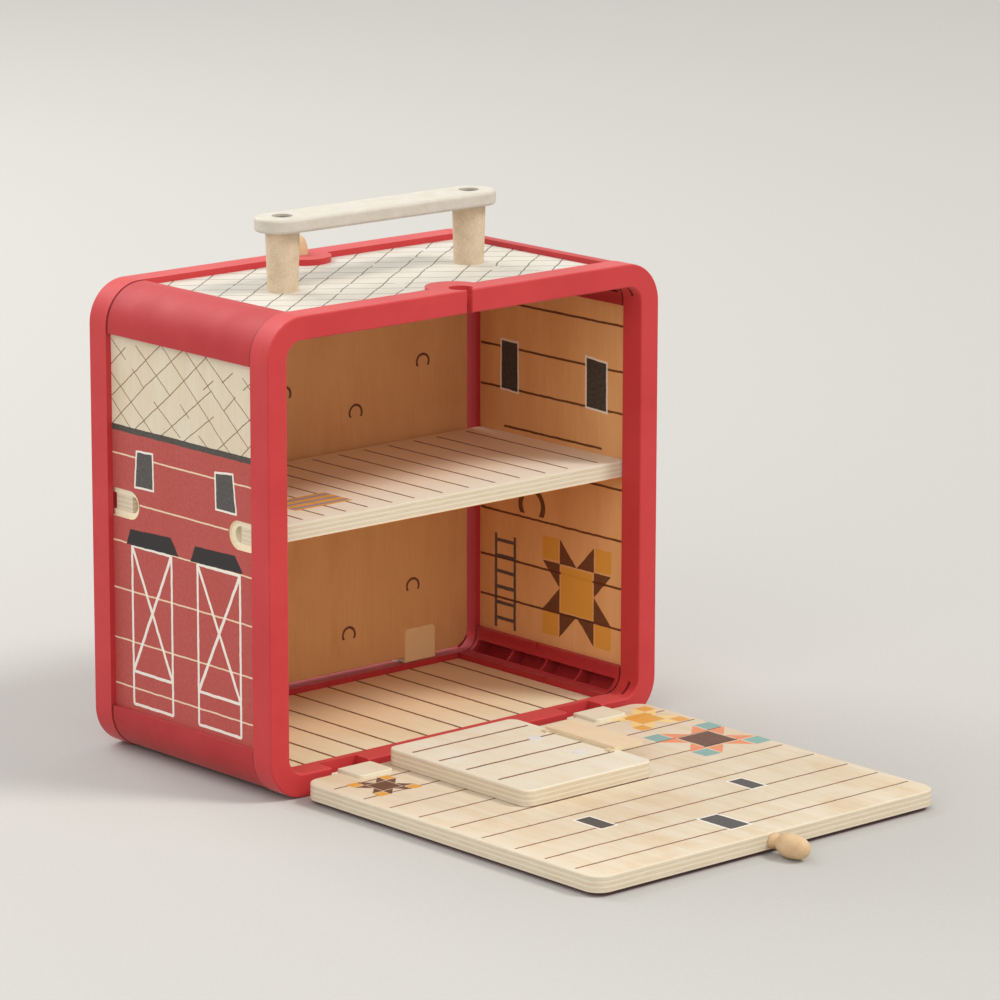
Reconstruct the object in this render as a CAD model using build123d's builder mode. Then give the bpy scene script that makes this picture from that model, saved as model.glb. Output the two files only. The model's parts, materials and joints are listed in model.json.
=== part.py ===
from build123d import *
import os

os.makedirs("parts", exist_ok=True)

# A carry-along toy barn. +Z is up, the front faces -Y, and the origin lies under the middle of the body.
# Millimetres throughout.

# Body
width = 290.0
depth = 160.0
height = 271.0

# Moulded end rings
ring_depth = 15.5
ring_face = 13.5
outer_radius = 24.0
edge_round = 1.0

# Plywood
panel_thickness = 6.3
panel_recess = 3.6
board_thickness = 9.5
board_round = 0.8
groove_depth = 2.0
fit = 0.1
overcut = 1.0

# Corner mouldings
corner_step = 0.5
corner_gap = 0.5
outer_lip = 3.5
pocket_margin = 3.9
pocket_wall = 2.5
rib_thickness = 1.6
rib_setback = 1.0
end_web = 3.5
ribs = 3
lip_slit = 0.8
first_slit_at = -13.0
second_slit_at = 9.0

# Snap hooks that join the corner mouldings to the rings
hook_thickness = 2.4
hook_length = 11.6
hook_half_angle = 24.0
hook_flex = 1.8
hook_slack = 0.3
socket_spare_angle = 4.0
window_spare_angle = 2.0
barb_height = 1.6
barb_width = 1.6
barb_from_tip = 2.0

# Doors
door_gap_beside = 4.1
door_gap_below = 2.8
door_gap_above = 1.4
door_radius = 10.0
door_set_back = 3.0

# Hinges
hinge_height = 4.75
hinge_inside_face = 2.5
hinge_from_door_side = 38.9
notch_width = 26.5
notch_depth = 11.0
notch_web = 1.0
leaf_side_gap = 1.45
leaf_plate = 1.9
leaf_reach = 18.2
leaf_radius = 3.0
leaf_round = 0.6
arm_over_rail = 0.3
strut_thickness = 4.0
barrel_radius = 3.4
pin_radius = 1.5
pin_engagement = 6.0
pin_fit = 0.02
barrel_fit = 0.06
peg_radius = 2.5
peg_length = 5.0
peg_spacing = 12.0
peg_from_edge = 9.0

# Pull knobs on the free edges of the doors
knob_travel = 16.4
knob_base_radius = 4.4
knob_base_height = 1.4
knob_waist_radius = 3.5
knob_waist_at = 4.4
knob_shoulder_radius = 4.9
knob_shoulder_at = 6.6
knob_radius = 6.75
knob_widest_at = 13.5
knob_tip_radius = 5.7
knob_length = 26.0
knob_seat_gap = 0.1
stem_radius = 1.7
stem_in_knob = 12.0
stem_fit = 0.1
foot_radius = 2.6
foot_length = 3.0
bush_radius = 3.0
bush_length = 10.0

# Seats for the knobs in the top rails
mouth_width = 4.2
seat_clearance = 0.25
seat_throat_radius = 4.8
seat_throat_height = 3.6
seat_flare_height = 9.0
lobe_radius = 16.3
lobe_centre_inside = 13.7
relief_margin = 2.0

# Shelf
shelf_underside = 141.9
shelf_door_gap = 6.5
shelf_radius = 2.0
tenon_width = 14.7
tenon_ring_gap = 0.8
slot_clearance = 0.05
slot_beyond_tenon = 5.3
pocket_beyond_slot = 3.2
pocket_height = 16.5
pocket_sink = 2.0

# Handle
post_spacing = 138.4
post_height = 34.4
post_base_radius = 8.75
post_top_radius = 9.7
bar_length = 170.8
bar_width = 28.8
bar_thickness = 8.4
bar_round = 2.0
bolt_radius = 2.5
bolt_fit = 0.15
bolt_head_radius = 5.0
bolt_head_height = 1.6
bolt_head_round = 0.8
hex_key_radius = 1.7
hex_key_depth = 1.0
bolt_recess_radius = 6.0
bolt_recess_depth = 2.6
washer_radius = 6.0
washer_thickness = 1.0
nut_across_flats = 8.0
nut_height = 5.0

# Loose floor board that lies on the open front door, with the slat that grips its edge
board_leaf_gap = 6.7
board_right = 24.5
board_from_axis = 15.0
board_length = 117.5
board_radius = 6.0
board_gap = 0.1
plug_radius = 4.25
plug_depth = 6.0
plug_proud = 0.2
plug_from_right = 19.5
plug_first = 40.5
plug_spacing = 37.6
slat_width = 21.5
slat_length = 57.0
slat_thickness = 2.5
slat_overlap = 4.0
slat_from_near_edge = 32.5
slat_tab_length = 3.2
slat_tab_width = 4.0
slat_tab_thickness = 1.2

# Places worked out from the sizes above
inner_radius = outer_radius - ring_face
opening_width = width - 2 * ring_face
opening_height = height - 2 * ring_face
ring_inside = depth / 2 - ring_depth
panel_outer_radius = outer_radius - panel_recess
panel_inner_radius = panel_outer_radius - panel_thickness
arc_x = width / 2 - outer_radius
arc_low = outer_radius
arc_high = height - outer_radius
panel_end = ring_inside + groove_depth - fit
wall_outside = width / 2 - panel_recess
wall_inside = wall_outside - panel_thickness
roof_top = height - panel_recess
roof_underside = roof_top - panel_thickness
corner_half_angle = 45.0
corner_end = ring_inside - corner_gap
corner_radius = outer_radius - corner_step
barb_start = corner_end + hook_length - barb_from_tip - barb_width
door_width = opening_width - 2 * door_gap_beside
door_height = opening_height - door_gap_below - door_gap_above
door_outside = depth / 2 - door_set_back
door_middle = door_outside - board_thickness / 2
hinge_spacing = door_width - 2 * hinge_from_door_side
hinge_line = door_outside - hinge_inside_face
door_outer_face = hinge_inside_face
door_inner_face = hinge_inside_face - board_thickness
door_start = ring_face + door_gap_below - hinge_height
door_end = door_start + door_height
leaf_width = notch_width - 2 * leaf_side_gap
leaf_face = door_inner_face - leaf_plate
board_left = board_leaf_gap + (leaf_width - hinge_spacing) / 2
leaf_end = door_start + leaf_reach
peg_line = door_start + peg_from_edge
arm_top = door_start - fit
rail_top = ring_face - hinge_height
arm_bottom = rail_top + arm_over_rail
pin_length = notch_width + 2 * pin_engagement
knob_tip_rise = knob_length - knob_tip_radius - knob_widest_at
knob_side_radius = (knob_radius**2 + knob_tip_rise**2 - knob_tip_radius**2) / (
    2 * (knob_radius - knob_tip_radius)
)
knob_tip_share = knob_tip_radius / (knob_side_radius - knob_tip_radius)
knob_tip_start = (
    knob_tip_share * (knob_side_radius - knob_radius),
    knob_length - knob_tip_radius + knob_tip_share * knob_tip_rise,
)
seat_radius = knob_radius + seat_clearance
relief_width = 2 * (seat_radius + relief_margin)
bore_depth = bush_length + knob_travel + foot_length + 2 * fit
shelf_depth = 2 * (door_outside - board_thickness - shelf_door_gap)
shelf_middle = shelf_underside + board_thickness / 2
tenon_from_middle = ring_inside - tenon_ring_gap - tenon_width
slot_from_middle = tenon_from_middle - slot_beyond_tenon
pocket_from_middle = slot_from_middle - pocket_beyond_slot

# Planes. Each end has one that faces outward, and each corner one on its arc centre whose first
# quadrant holds the moulding. A door's plane has X along the hinge, Y away from it and Z outward.
outward = {
    "front": Plane(origin=(0, 0, 0), x_dir=(1, 0, 0), z_dir=(0, -1, 0)),
    "rear": Plane(origin=(0, 0, 0), x_dir=(-1, 0, 0), z_dir=(0, 1, 0)),
}
side_of = {"front": -1, "rear": 1}
corner_plane = {
    "top_right": Plane(origin=(arc_x, 0, arc_high), x_dir=(1, 0, 0), z_dir=(0, -1, 0)),
    "top_left": Plane(origin=(-arc_x, 0, arc_high), x_dir=(0, 0, 1), z_dir=(0, -1, 0)),
    "bottom_left": Plane(origin=(-arc_x, 0, arc_low), x_dir=(-1, 0, 0), z_dir=(0, -1, 0)),
    "bottom_right": Plane(origin=(arc_x, 0, arc_low), x_dir=(0, 0, -1), z_dir=(0, -1, 0)),
}
hinge_plane = {
    "front": Plane(origin=(0, -hinge_line, hinge_height), x_dir=(1, 0, 0), z_dir=(0, 0, -1)),
    "rear": Plane(origin=(0, hinge_line, hinge_height), x_dir=(-1, 0, 0), z_dir=(0, 1, 0)),
}
side_hands = {"left": -1, "right": 1}


def across(plane, along_x):
    """A plane square to the hinge, where X runs away from the hinge and Y outward."""
    place = plane.origin + plane.x_dir * along_x
    return Plane(origin=place, x_dir=plane.y_dir, z_dir=plane.x_dir)


def free_edge(plane):
    """A plane on a door's free edge, over its middle, that faces away from the hinge."""
    middle = (door_outer_face + door_inner_face) / 2
    place = plane.origin + plane.y_dir * door_end + plane.z_dir * middle
    return Plane(origin=place, x_dir=plane.x_dir, z_dir=plane.y_dir)


def sector(radius_in, radius_out, half_angle):
    """The face between two arcs round a corner's centre, either side of its diagonal."""
    start = corner_half_angle - half_angle
    with BuildSketch() as face:
        with BuildLine():
            outer = CenterArc((0, 0), radius_out, start, 2 * half_angle)
            inner = CenterArc((0, 0), radius_in, start, 2 * half_angle)
            Line(outer @ 0, inner @ 0)
            Line(outer @ 1, inner @ 1)
        make_face()
    return face.sketch


# End rings, with the panel groove, hook sockets, hinge notches and knob seats
for end, side in side_of.items():
    plane = outward[end]
    axis_y = side * door_middle
    with BuildPart() as ring:
        with BuildSketch(plane.offset(ring_inside)):
            with Locations((0, height / 2)):
                RectangleRounded(width, height, outer_radius)
                RectangleRounded(opening_width, opening_height, inner_radius, mode=Mode.SUBTRACT)
        extrude(amount=ring_depth)
        face_edges = ring.faces().sort_by(Axis.Y)[0 if side < 0 else -1].edges()
        fillet(face_edges, edge_round)
        with BuildSketch(Plane.XY.offset(roof_top)):
            with Locations((0, side * (depth / 2 - lobe_centre_inside))):
                Circle(lobe_radius)
            with Locations((0, side * (ring_inside + lobe_radius))):
                Rectangle(4 * lobe_radius, 2 * lobe_radius, mode=Mode.SUBTRACT)
        extrude(amount=panel_recess)
        with BuildSketch(plane.offset(ring_inside)):
            with Locations((0, height / 2)):
                RectangleRounded(
                    width - 2 * panel_recess, height - 2 * panel_recess, panel_outer_radius
                )
                RectangleRounded(
                    2 * wall_inside,
                    height - 2 * (panel_recess + panel_thickness),
                    panel_inner_radius,
                    mode=Mode.SUBTRACT,
                )
            with Locations((0, roof_underside + panel_thickness / 2)):
                Rectangle(relief_width, panel_thickness + 2 * fit, mode=Mode.SUBTRACT)
        extrude(amount=groove_depth, mode=Mode.SUBTRACT)
        socket = sector(
            panel_inner_radius,
            panel_inner_radius + hook_slack + hook_thickness + hook_flex,
            hook_half_angle + socket_spare_angle,
        )
        window = sector(
            inner_radius - overcut, panel_inner_radius + overcut, hook_half_angle + window_spare_angle
        )
        for corner in corner_plane.values():
            with BuildSketch(corner.offset(-side * ring_inside)):
                add(socket)
            extrude(amount=-side * (hook_length + hook_slack), mode=Mode.SUBTRACT)
            with BuildSketch(corner.offset(-side * (barb_start - hook_slack))):
                add(window)
            extrude(amount=-side * (barb_width + 2 * hook_slack), mode=Mode.SUBTRACT)
        with BuildSketch(Plane.XY.offset(notch_web)):
            with Locations((0, side * (depth - notch_depth) / 2)):
                with GridLocations(hinge_spacing, 0, 2, 1):
                    Rectangle(notch_width, notch_depth)
        extrude(amount=ring_face, mode=Mode.SUBTRACT)
        for pin_x in (-hinge_spacing / 2, hinge_spacing / 2):
            with BuildSketch(Plane.YZ.offset(pin_x)):
                with Locations((side * hinge_line, hinge_height)):
                    Circle(pin_radius + pin_fit)
            extrude(amount=pin_length / 2 + fit, both=True, mode=Mode.SUBTRACT)
        seat_plane = Plane(origin=(0, axis_y, height - ring_face), x_dir=(1, 0, 0), z_dir=(0, -1, 0))
        with BuildSketch(seat_plane):
            with BuildLine():
                Polyline(
                    (0, -overcut),
                    (seat_throat_radius, -overcut),
                    (seat_throat_radius, seat_throat_height),
                    (seat_radius, seat_flare_height),
                    (seat_radius, ring_face + overcut),
                    (0, ring_face + overcut),
                    close=True,
                )
            make_face()
        revolve(axis=Axis((0, axis_y, 0), (0, 0, 1)), mode=Mode.SUBTRACT)
        mouth_length = depth / 2 - door_middle + edge_round
        with BuildSketch(Plane.XY.offset(height + overcut)):
            with Locations((0, axis_y + side * mouth_length / 2)):
                Rectangle(mouth_width, mouth_length)
        extrude(amount=-ring_face - 2 * overcut, mode=Mode.SUBTRACT)
    ring.part.label = f"{end}_ring"
    export_step(ring.part, f"parts/{end}_ring.step")

# Corner mouldings: a quarter-round shell with pockets between curved ribs, lips that hold the
# panels' edges, and a hook at each end that snaps into the ring
bay = 2 * (corner_end - end_web) / (ribs + 1)
lip_reach = panel_inner_radius - inner_radius - fit / 2
shell_lip = corner_radius - panel_outer_radius - fit / 2
hook_root = panel_inner_radius + hook_slack
for corner_name, corner in corner_plane.items():
    with BuildPart() as moulding:
        with BuildSketch(corner.offset(-corner_end)):
            add(sector(inner_radius, corner_radius, corner_half_angle))
            for lip_from, lip_width in (
                (inner_radius, lip_reach),
                (corner_radius - shell_lip, shell_lip),
            ):
                middle = lip_from + lip_width / 2
                with Locations((middle, -outer_lip / 2)):
                    Rectangle(lip_width, outer_lip)
                with Locations((-outer_lip / 2, middle)):
                    Rectangle(outer_lip, lip_width)
        extrude(amount=2 * corner_end)
        with BuildSketch() as pocket:
            Circle(corner_radius - pocket_wall)
            with Locations((pocket_margin, pocket_margin)):
                Rectangle(corner_radius, corner_radius, align=Align.MIN, mode=Mode.INTERSECT)
        with BuildSketch(corner.offset(-corner_end + end_web)):
            add(sector(inner_radius - overcut, inner_radius + rib_setback, corner_half_angle))
            with Locations((pocket_margin, pocket_margin)):
                Rectangle(corner_radius, corner_radius, align=Align.MIN, mode=Mode.INTERSECT)
        extrude(amount=2 * (corner_end - end_web), mode=Mode.SUBTRACT)
        for number in range(ribs + 1):
            start = -corner_end + end_web + number * bay + rib_thickness / 2
            with BuildSketch(corner.offset(start)):
                add(pocket.sketch)
            extrude(amount=bay - rib_thickness, mode=Mode.SUBTRACT)
        lip_middle = inner_radius + lip_reach / 2
        for slit_y, slit_place in (
            (first_slit_at, (lip_middle, -outer_lip / 2)),
            (second_slit_at, (-outer_lip / 2, lip_middle)),
        ):
            with BuildSketch(corner.offset(-slit_y - lip_slit / 2)):
                with Locations(slit_place):
                    Rectangle(lip_reach + fit, lip_reach + fit)
            extrude(amount=lip_slit, mode=Mode.SUBTRACT)
        for side in side_of.values():
            with BuildSketch(corner.offset(-side * (corner_end - end_web))):
                add(sector(hook_root, hook_root + hook_thickness, hook_half_angle))
            extrude(amount=-side * (hook_length + end_web))
            with BuildSketch(corner.offset(-side * barb_start)):
                add(sector(hook_root - barb_height, hook_root + hook_thickness, hook_half_angle))
            extrude(amount=-side * barb_width)
    moulding.part.label = f"{corner_name}_corner"
    export_step(moulding.part, f"parts/{corner_name}_corner.step")

# Walls: slots that the shelf's tenons pass through, with a pocket milled round each slot outside
for hand, sign in side_hands.items():
    with BuildPart() as wall:
        with BuildSketch(Plane.YZ.offset(sign * wall_inside)):
            with Locations((0, height / 2)):
                Rectangle(2 * panel_end, arc_high - arc_low - 2 * fit)
        extrude(amount=sign * panel_thickness)
        slot_height = board_thickness + 2 * slot_clearance
        for cut_from, cut_height, cut_depth in (
            (slot_from_middle, slot_height, panel_thickness),
            (pocket_from_middle, pocket_height, pocket_sink),
        ):
            cut_length = depth / 2 - cut_from
            with BuildSketch(Plane.YZ.offset(sign * wall_outside)):
                with Locations((0, shelf_middle)):
                    with GridLocations(2 * cut_from + cut_length, 0, 2, 1):
                        SlotOverall(cut_length, cut_height)
                    with GridLocations(depth, 0, 2, 1):
                        Rectangle(cut_length, cut_height)
            extrude(amount=-sign * cut_depth, mode=Mode.SUBTRACT)
    wall.part.label = f"{hand}_wall"
    export_step(wall.part, f"parts/{hand}_wall.step")

# Roof, with the handle's bolt holes and a relief at each end behind the knob seat
post_spots = [(-post_spacing / 2, 0), (post_spacing / 2, 0)]
flat_width = 2 * (arc_x - fit)
relief_depth = 2 * groove_depth
with BuildPart() as roof:
    with BuildSketch(Plane.XY.offset(roof_underside)):
        Rectangle(flat_width, 2 * panel_end)
        with GridLocations(0, 2 * (ring_inside - fit) + relief_depth, 1, 2):
            Rectangle(relief_width + 2 * fit, relief_depth, mode=Mode.SUBTRACT)
        with Locations(post_spots):
            Circle(bolt_radius + bolt_fit, mode=Mode.SUBTRACT)
    extrude(amount=panel_thickness)
roof.part.label = "roof_panel"
export_step(roof.part, "parts/roof_panel.step")

# Floor
with BuildPart() as floor:
    with BuildSketch(Plane.XY.offset(panel_recess)):
        Rectangle(flat_width, 2 * panel_end)
    extrude(amount=panel_thickness)
floor.part.label = "floor_panel"
export_step(floor.part, "parts/floor_panel.step")

# Shelf, with two tenons at each end
with BuildPart() as shelf:
    with BuildSketch(Plane.XY.offset(shelf_underside)):
        RectangleRounded(2 * (wall_inside - fit), shelf_depth, shelf_radius)
        with GridLocations(0, 2 * tenon_from_middle + tenon_width, 1, 2):
            Rectangle(2 * (wall_outside - pocket_sink), tenon_width)
    extrude(amount=board_thickness)
shelf.part.label = "shelf"
export_step(shelf.part, "parts/shelf.step")

# Doors, with a bore for the knob's bush in the free edge and blind holes for the hinge pegs
for end, plane in hinge_plane.items():
    edge_plane = free_edge(plane)
    with BuildPart() as door:
        with BuildSketch(plane.offset(door_inner_face)):
            with Locations((0, (door_start + door_end) / 2)):
                RectangleRounded(door_width, door_height, door_radius)
        extrude(amount=board_thickness)
        fillet(door.faces().filter_by(Axis(plane.origin, plane.z_dir)).edges(), board_round)
        with BuildSketch(edge_plane):
            Circle(bush_radius + pin_fit)
        extrude(amount=-bore_depth, mode=Mode.SUBTRACT)
        with BuildSketch(plane.offset(door_inner_face)):
            for hinge_x in (-hinge_spacing / 2, hinge_spacing / 2):
                with Locations((hinge_x - peg_spacing / 2, peg_line), (hinge_x + peg_spacing / 2, peg_line)):
                    Circle(peg_radius + pin_fit)
        extrude(amount=peg_length + fit, mode=Mode.SUBTRACT)
    door.part.label = f"{end}_door"
    export_step(door.part, f"parts/{end}_door.step")

# Hinge leaves: a plate on the door's inner face, an arm under its edge and a barrel on the pin
for end, plane in hinge_plane.items():
    for hand, sign in side_hands.items():
        hinge_x = sign * plane.x_dir.X * hinge_spacing / 2
        section = across(plane, hinge_x - leaf_width / 2)
        with BuildPart() as leaf:
            with BuildSketch(section):
                with BuildLine():
                    Polyline(
                        (0, -strut_thickness / 2),
                        (arm_bottom, -strut_thickness / 2),
                        (arm_bottom, leaf_face),
                        (leaf_end, leaf_face),
                        (leaf_end, door_inner_face),
                        (arm_top, door_inner_face),
                        (arm_top, strut_thickness / 2),
                        (0, strut_thickness / 2),
                        close=True,
                    )
                make_face()
                Circle(barrel_radius)
            extrude(amount=leaf_width)
            standing = leaf.edges().filter_by(Axis(plane.origin, plane.z_dir))
            fillet(standing.group_by(Axis(plane.origin, plane.y_dir))[-1], leaf_radius)
            plate_face = leaf.faces().filter_by(Axis(plane.origin, plane.z_dir))
            fillet(plate_face.sort_by(Axis(plane.origin, plane.z_dir))[0].edges(), leaf_round)
            with BuildSketch(section):
                Circle(pin_radius + barrel_fit)
            extrude(amount=leaf_width, mode=Mode.SUBTRACT)
            with BuildSketch(plane.offset(door_inner_face)):
                with Locations((hinge_x - peg_spacing / 2, peg_line), (hinge_x + peg_spacing / 2, peg_line)):
                    Circle(peg_radius)
            extrude(amount=peg_length)
        leaf.part.label = f"{end}_{hand}_hinge"
        export_step(leaf.part, f"parts/{end}_{hand}_hinge.step")

        with BuildPart() as pin:
            with BuildSketch(Plane.YZ.offset(sign * hinge_spacing / 2)):
                with Locations((side_of[end] * hinge_line, hinge_height)):
                    Circle(pin_radius)
            extrude(amount=pin_length / 2, both=True)
        pin.part.label = f"{end}_{hand}_pin"
        export_step(pin.part, f"parts/{end}_{hand}_pin.step")

# Pull knobs: a turned head on a stem that slides in a bush, with a foot that stops it
for end, plane in hinge_plane.items():
    edge_plane = free_edge(plane)
    profile_plane = Plane(origin=edge_plane.origin, x_dir=plane.x_dir, z_dir=plane.z_dir)
    knob_axis = Axis(edge_plane.origin, plane.y_dir)
    with BuildPart() as knob:
        with BuildSketch(profile_plane):
            with BuildLine():
                Line((0, knob_seat_gap), (knob_base_radius, knob_seat_gap))
                Line((knob_base_radius, knob_seat_gap), (knob_base_radius, knob_base_height))
                ThreePointArc(
                    (knob_base_radius, knob_base_height),
                    (knob_waist_radius, knob_waist_at),
                    (knob_shoulder_radius, knob_shoulder_at),
                )
                TangentArc(
                    (knob_radius, knob_widest_at), (knob_shoulder_radius, knob_shoulder_at), tangent=(0, -1)
                )
                RadiusArc((knob_radius, knob_widest_at), knob_tip_start, -knob_side_radius)
                RadiusArc(knob_tip_start, (0, knob_length), -knob_tip_radius)
                Line((0, knob_length), (0, knob_seat_gap))
            make_face()
        revolve(axis=knob_axis)
        with BuildSketch(edge_plane):
            Circle(stem_radius + pin_fit)
        extrude(amount=stem_in_knob + fit, mode=Mode.SUBTRACT)
    knob.part.label = f"{end}_knob"
    export_step(knob.part, f"parts/{end}_knob.step")

    foot_at = bush_length + knob_travel + fit
    with BuildPart() as stem:
        with BuildSketch(edge_plane.offset(-foot_at)):
            Circle(stem_radius)
        extrude(amount=foot_at + stem_in_knob)
        with BuildSketch(edge_plane.offset(-foot_at)):
            Circle(foot_radius)
        extrude(amount=-foot_length)
    stem.part.label = f"{end}_knob_stem"
    export_step(stem.part, f"parts/{end}_knob_stem.step")

    with BuildPart() as bush:
        with BuildSketch(edge_plane):
            Circle(bush_radius)
            Circle(stem_radius + stem_fit, mode=Mode.SUBTRACT)
        extrude(amount=-bush_length)
    bush.part.label = f"{end}_knob_bush"
    export_step(bush.part, f"parts/{end}_knob_bush.step")

# Handle: a flat bar on two tapered posts, drawn down on the roof by a bolt through each post
post_top = roof_top + post_height
with BuildPart() as bar:
    with BuildSketch(Plane.XY.offset(post_top)):
        SlotOverall(bar_length, bar_width)
    extrude(amount=bar_thickness)
    fillet(bar.faces().filter_by(Axis.Z).edges(), bar_round)
    bar_top = Plane.XY.offset(post_top + bar_thickness)
    with BuildSketch(bar_top):
        with Locations(post_spots):
            Circle(bolt_recess_radius)
    extrude(amount=-bolt_recess_depth, mode=Mode.SUBTRACT)
    with BuildSketch(bar_top):
        with Locations(post_spots):
            Circle(bolt_radius + bolt_fit)
    extrude(amount=-bar_thickness, mode=Mode.SUBTRACT)
bar.part.label = "handle_bar"
export_step(bar.part, "parts/handle_bar.step")

for hand, sign in side_hands.items():
    foot = Plane(origin=(sign * post_spacing / 2, 0, roof_top), x_dir=(1, 0, 0), z_dir=(0, -1, 0))
    with BuildPart() as post:
        with BuildSketch(foot):
            with BuildLine():
                Polyline(
                    (bolt_radius + bolt_fit, 0),
                    (post_base_radius, 0),
                    (post_top_radius, post_height),
                    (bolt_radius + bolt_fit, post_height),
                    close=True,
                )
            make_face()
        revolve(axis=Axis(foot.origin, (0, 0, 1)))
    post.part.label = f"{hand}_handle_post"
    export_step(post.part, f"parts/{hand}_handle_post.step")

bolt_seat = post_top + bar_thickness - bolt_recess_depth
nut_bottom = roof_underside - washer_thickness - nut_height
with BuildPart() as bolts:
    with BuildSketch(Plane.XY.offset(bolt_seat)):
        with Locations(post_spots):
            Circle(bolt_head_radius)
    extrude(amount=bolt_head_height)
    fillet(bolts.faces().filter_by(Axis.Z).sort_by(Axis.Z)[-2:].edges(), bolt_head_round)
    with BuildSketch(Plane.XY.offset(bolt_seat + bolt_head_height)):
        with Locations(post_spots):
            RegularPolygon(hex_key_radius, 6)
    extrude(amount=-hex_key_depth, mode=Mode.SUBTRACT)
    with BuildSketch(Plane.XY.offset(bolt_seat)):
        with Locations(post_spots):
            Circle(bolt_radius)
    extrude(amount=nut_bottom - bolt_seat)
bolts.part.label = "handle_bolts"
export_step(bolts.part, "parts/handle_bolts.step")

with BuildPart() as washers:
    with BuildSketch(Plane.XY.offset(roof_underside)):
        with Locations(post_spots):
            Circle(washer_radius)
            Circle(bolt_radius + bolt_fit, mode=Mode.SUBTRACT)
    extrude(amount=-washer_thickness)
washers.part.label = "handle_washers"
export_step(washers.part, "parts/handle_washers.step")

with BuildPart() as nuts:
    with BuildSketch(Plane.XY.offset(roof_underside - washer_thickness)):
        with Locations(post_spots):
            RegularPolygon(nut_across_flats / 2, 6, major_radius=False)
            Circle(bolt_radius + pin_fit, mode=Mode.SUBTRACT)
    extrude(amount=-nut_height)
nuts.part.label = "handle_nuts"
export_step(nuts.part, "parts/handle_nuts.step")

# Loose board on the front door, with two plugs let into it and the slat along its right edge
plane = hinge_plane["front"]
board_underside = door_inner_face - board_gap
board_top = board_underside - board_thickness
plug_spots = [
    (board_right - plug_from_right, board_from_axis + plug_first),
    (board_right - plug_from_right, board_from_axis + plug_first + plug_spacing),
]
with BuildPart() as board:
    with BuildSketch(plane.offset(board_underside)):
        with Locations(((board_left + board_right) / 2, board_from_axis + board_length / 2)):
            RectangleRounded(board_right - board_left, board_length, board_radius)
    extrude(amount=-board_thickness)
    fillet(board.faces().filter_by(Axis(plane.origin, plane.z_dir)).edges(), board_round)
    with BuildSketch(plane.offset(board_top)):
        with Locations(plug_spots):
            Circle(plug_radius + pin_fit)
    extrude(amount=plug_depth, mode=Mode.SUBTRACT)
board.part.label = "loose_board"
export_step(board.part, "parts/loose_board.step")

with BuildPart() as plugs:
    with BuildSketch(plane.offset(board_top + plug_depth)):
        with Locations(plug_spots):
            Circle(plug_radius)
    extrude(amount=-plug_depth - plug_proud)
plugs.part.label = "board_plugs"
export_step(plugs.part, "parts/board_plugs.step")

slat_left = board_right - slat_overlap
slat_near = board_from_axis + slat_from_near_edge
tab_middle = slat_left - slat_tab_length / 2
with BuildPart() as slat:
    with BuildSketch(plane.offset(board_top)):
        with Locations((slat_left + slat_width / 2, slat_near + slat_length / 2)):
            Rectangle(slat_width, slat_length)
    extrude(amount=-slat_thickness)
    with BuildSketch(plane.offset(board_top)):
        with Locations((tab_middle + fit, slat_near + slat_length / 2)):
            with GridLocations(0, slat_length - slat_tab_width, 1, 2):
                Rectangle(slat_tab_length + 2 * fit, slat_tab_width)
    extrude(amount=-slat_tab_thickness)
slat.part.label = "board_slat"
export_step(slat.part, "parts/board_slat.step")
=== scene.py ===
import json
import math

import bpy
from mathutils import Matrix, Vector


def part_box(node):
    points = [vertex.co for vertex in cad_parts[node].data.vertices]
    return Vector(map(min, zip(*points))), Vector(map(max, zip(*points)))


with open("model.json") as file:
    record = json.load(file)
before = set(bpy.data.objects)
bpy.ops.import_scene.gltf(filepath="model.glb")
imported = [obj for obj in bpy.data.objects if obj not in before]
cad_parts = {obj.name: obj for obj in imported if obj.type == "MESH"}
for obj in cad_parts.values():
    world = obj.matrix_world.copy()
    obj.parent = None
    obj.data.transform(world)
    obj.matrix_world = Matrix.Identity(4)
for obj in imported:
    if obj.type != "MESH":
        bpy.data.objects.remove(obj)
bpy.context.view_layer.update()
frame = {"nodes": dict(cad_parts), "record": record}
nodes = frame["nodes"]
bpy.ops.object.select_all(action="DESELECT")
print("frame loaded:", len(nodes), "nodes")


def linear(red, green, blue):  # a 0 to 255 paint colour as the linear one that shaders use
    parts = []
    for value in (red, green, blue):
        share = value / 255
        parts.append(share / 12.92 if share <= 0.04045 else ((share + 0.055) / 1.055) ** 2.4)
    return (*parts, 1.0)


def millimetres(node):  # the corners of a piece's box
    low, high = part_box(node)
    return low * 1000, high * 1000


# Camera, lights and sky
camera = {
    "place": (-1.8075, -2.1426, 0.7779),
    "yaw": 0.7258,  # from +Y towards +X
    "pitch": 0.2248,  # downwards
    "roll": 0.0023,
    "lens": 180.0,
    "sensor": 36.0,
}
studio = {
    "aimAt": (0.0, -0.06, 0.1),
    "keyPlace": (1.9, -2.52, 3.81),
    "keySpread": 0.29,  # how soft its shadows are, in radians
    "keyPower": 1.75,
    "keyTone": (255, 251, 245),
    "fillPlace": (-2.2, -1.2, 1.7),
    "fillSize": 2.0,
    "fillPower": 24.0,
    "backPlace": (-0.4, 2.6, 2.2),
    "backSize": 2.2,
    "backPower": 72.0,
    "skyTone": (250, 249, 247),
    "skyStrength": 0.67,
}


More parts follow.
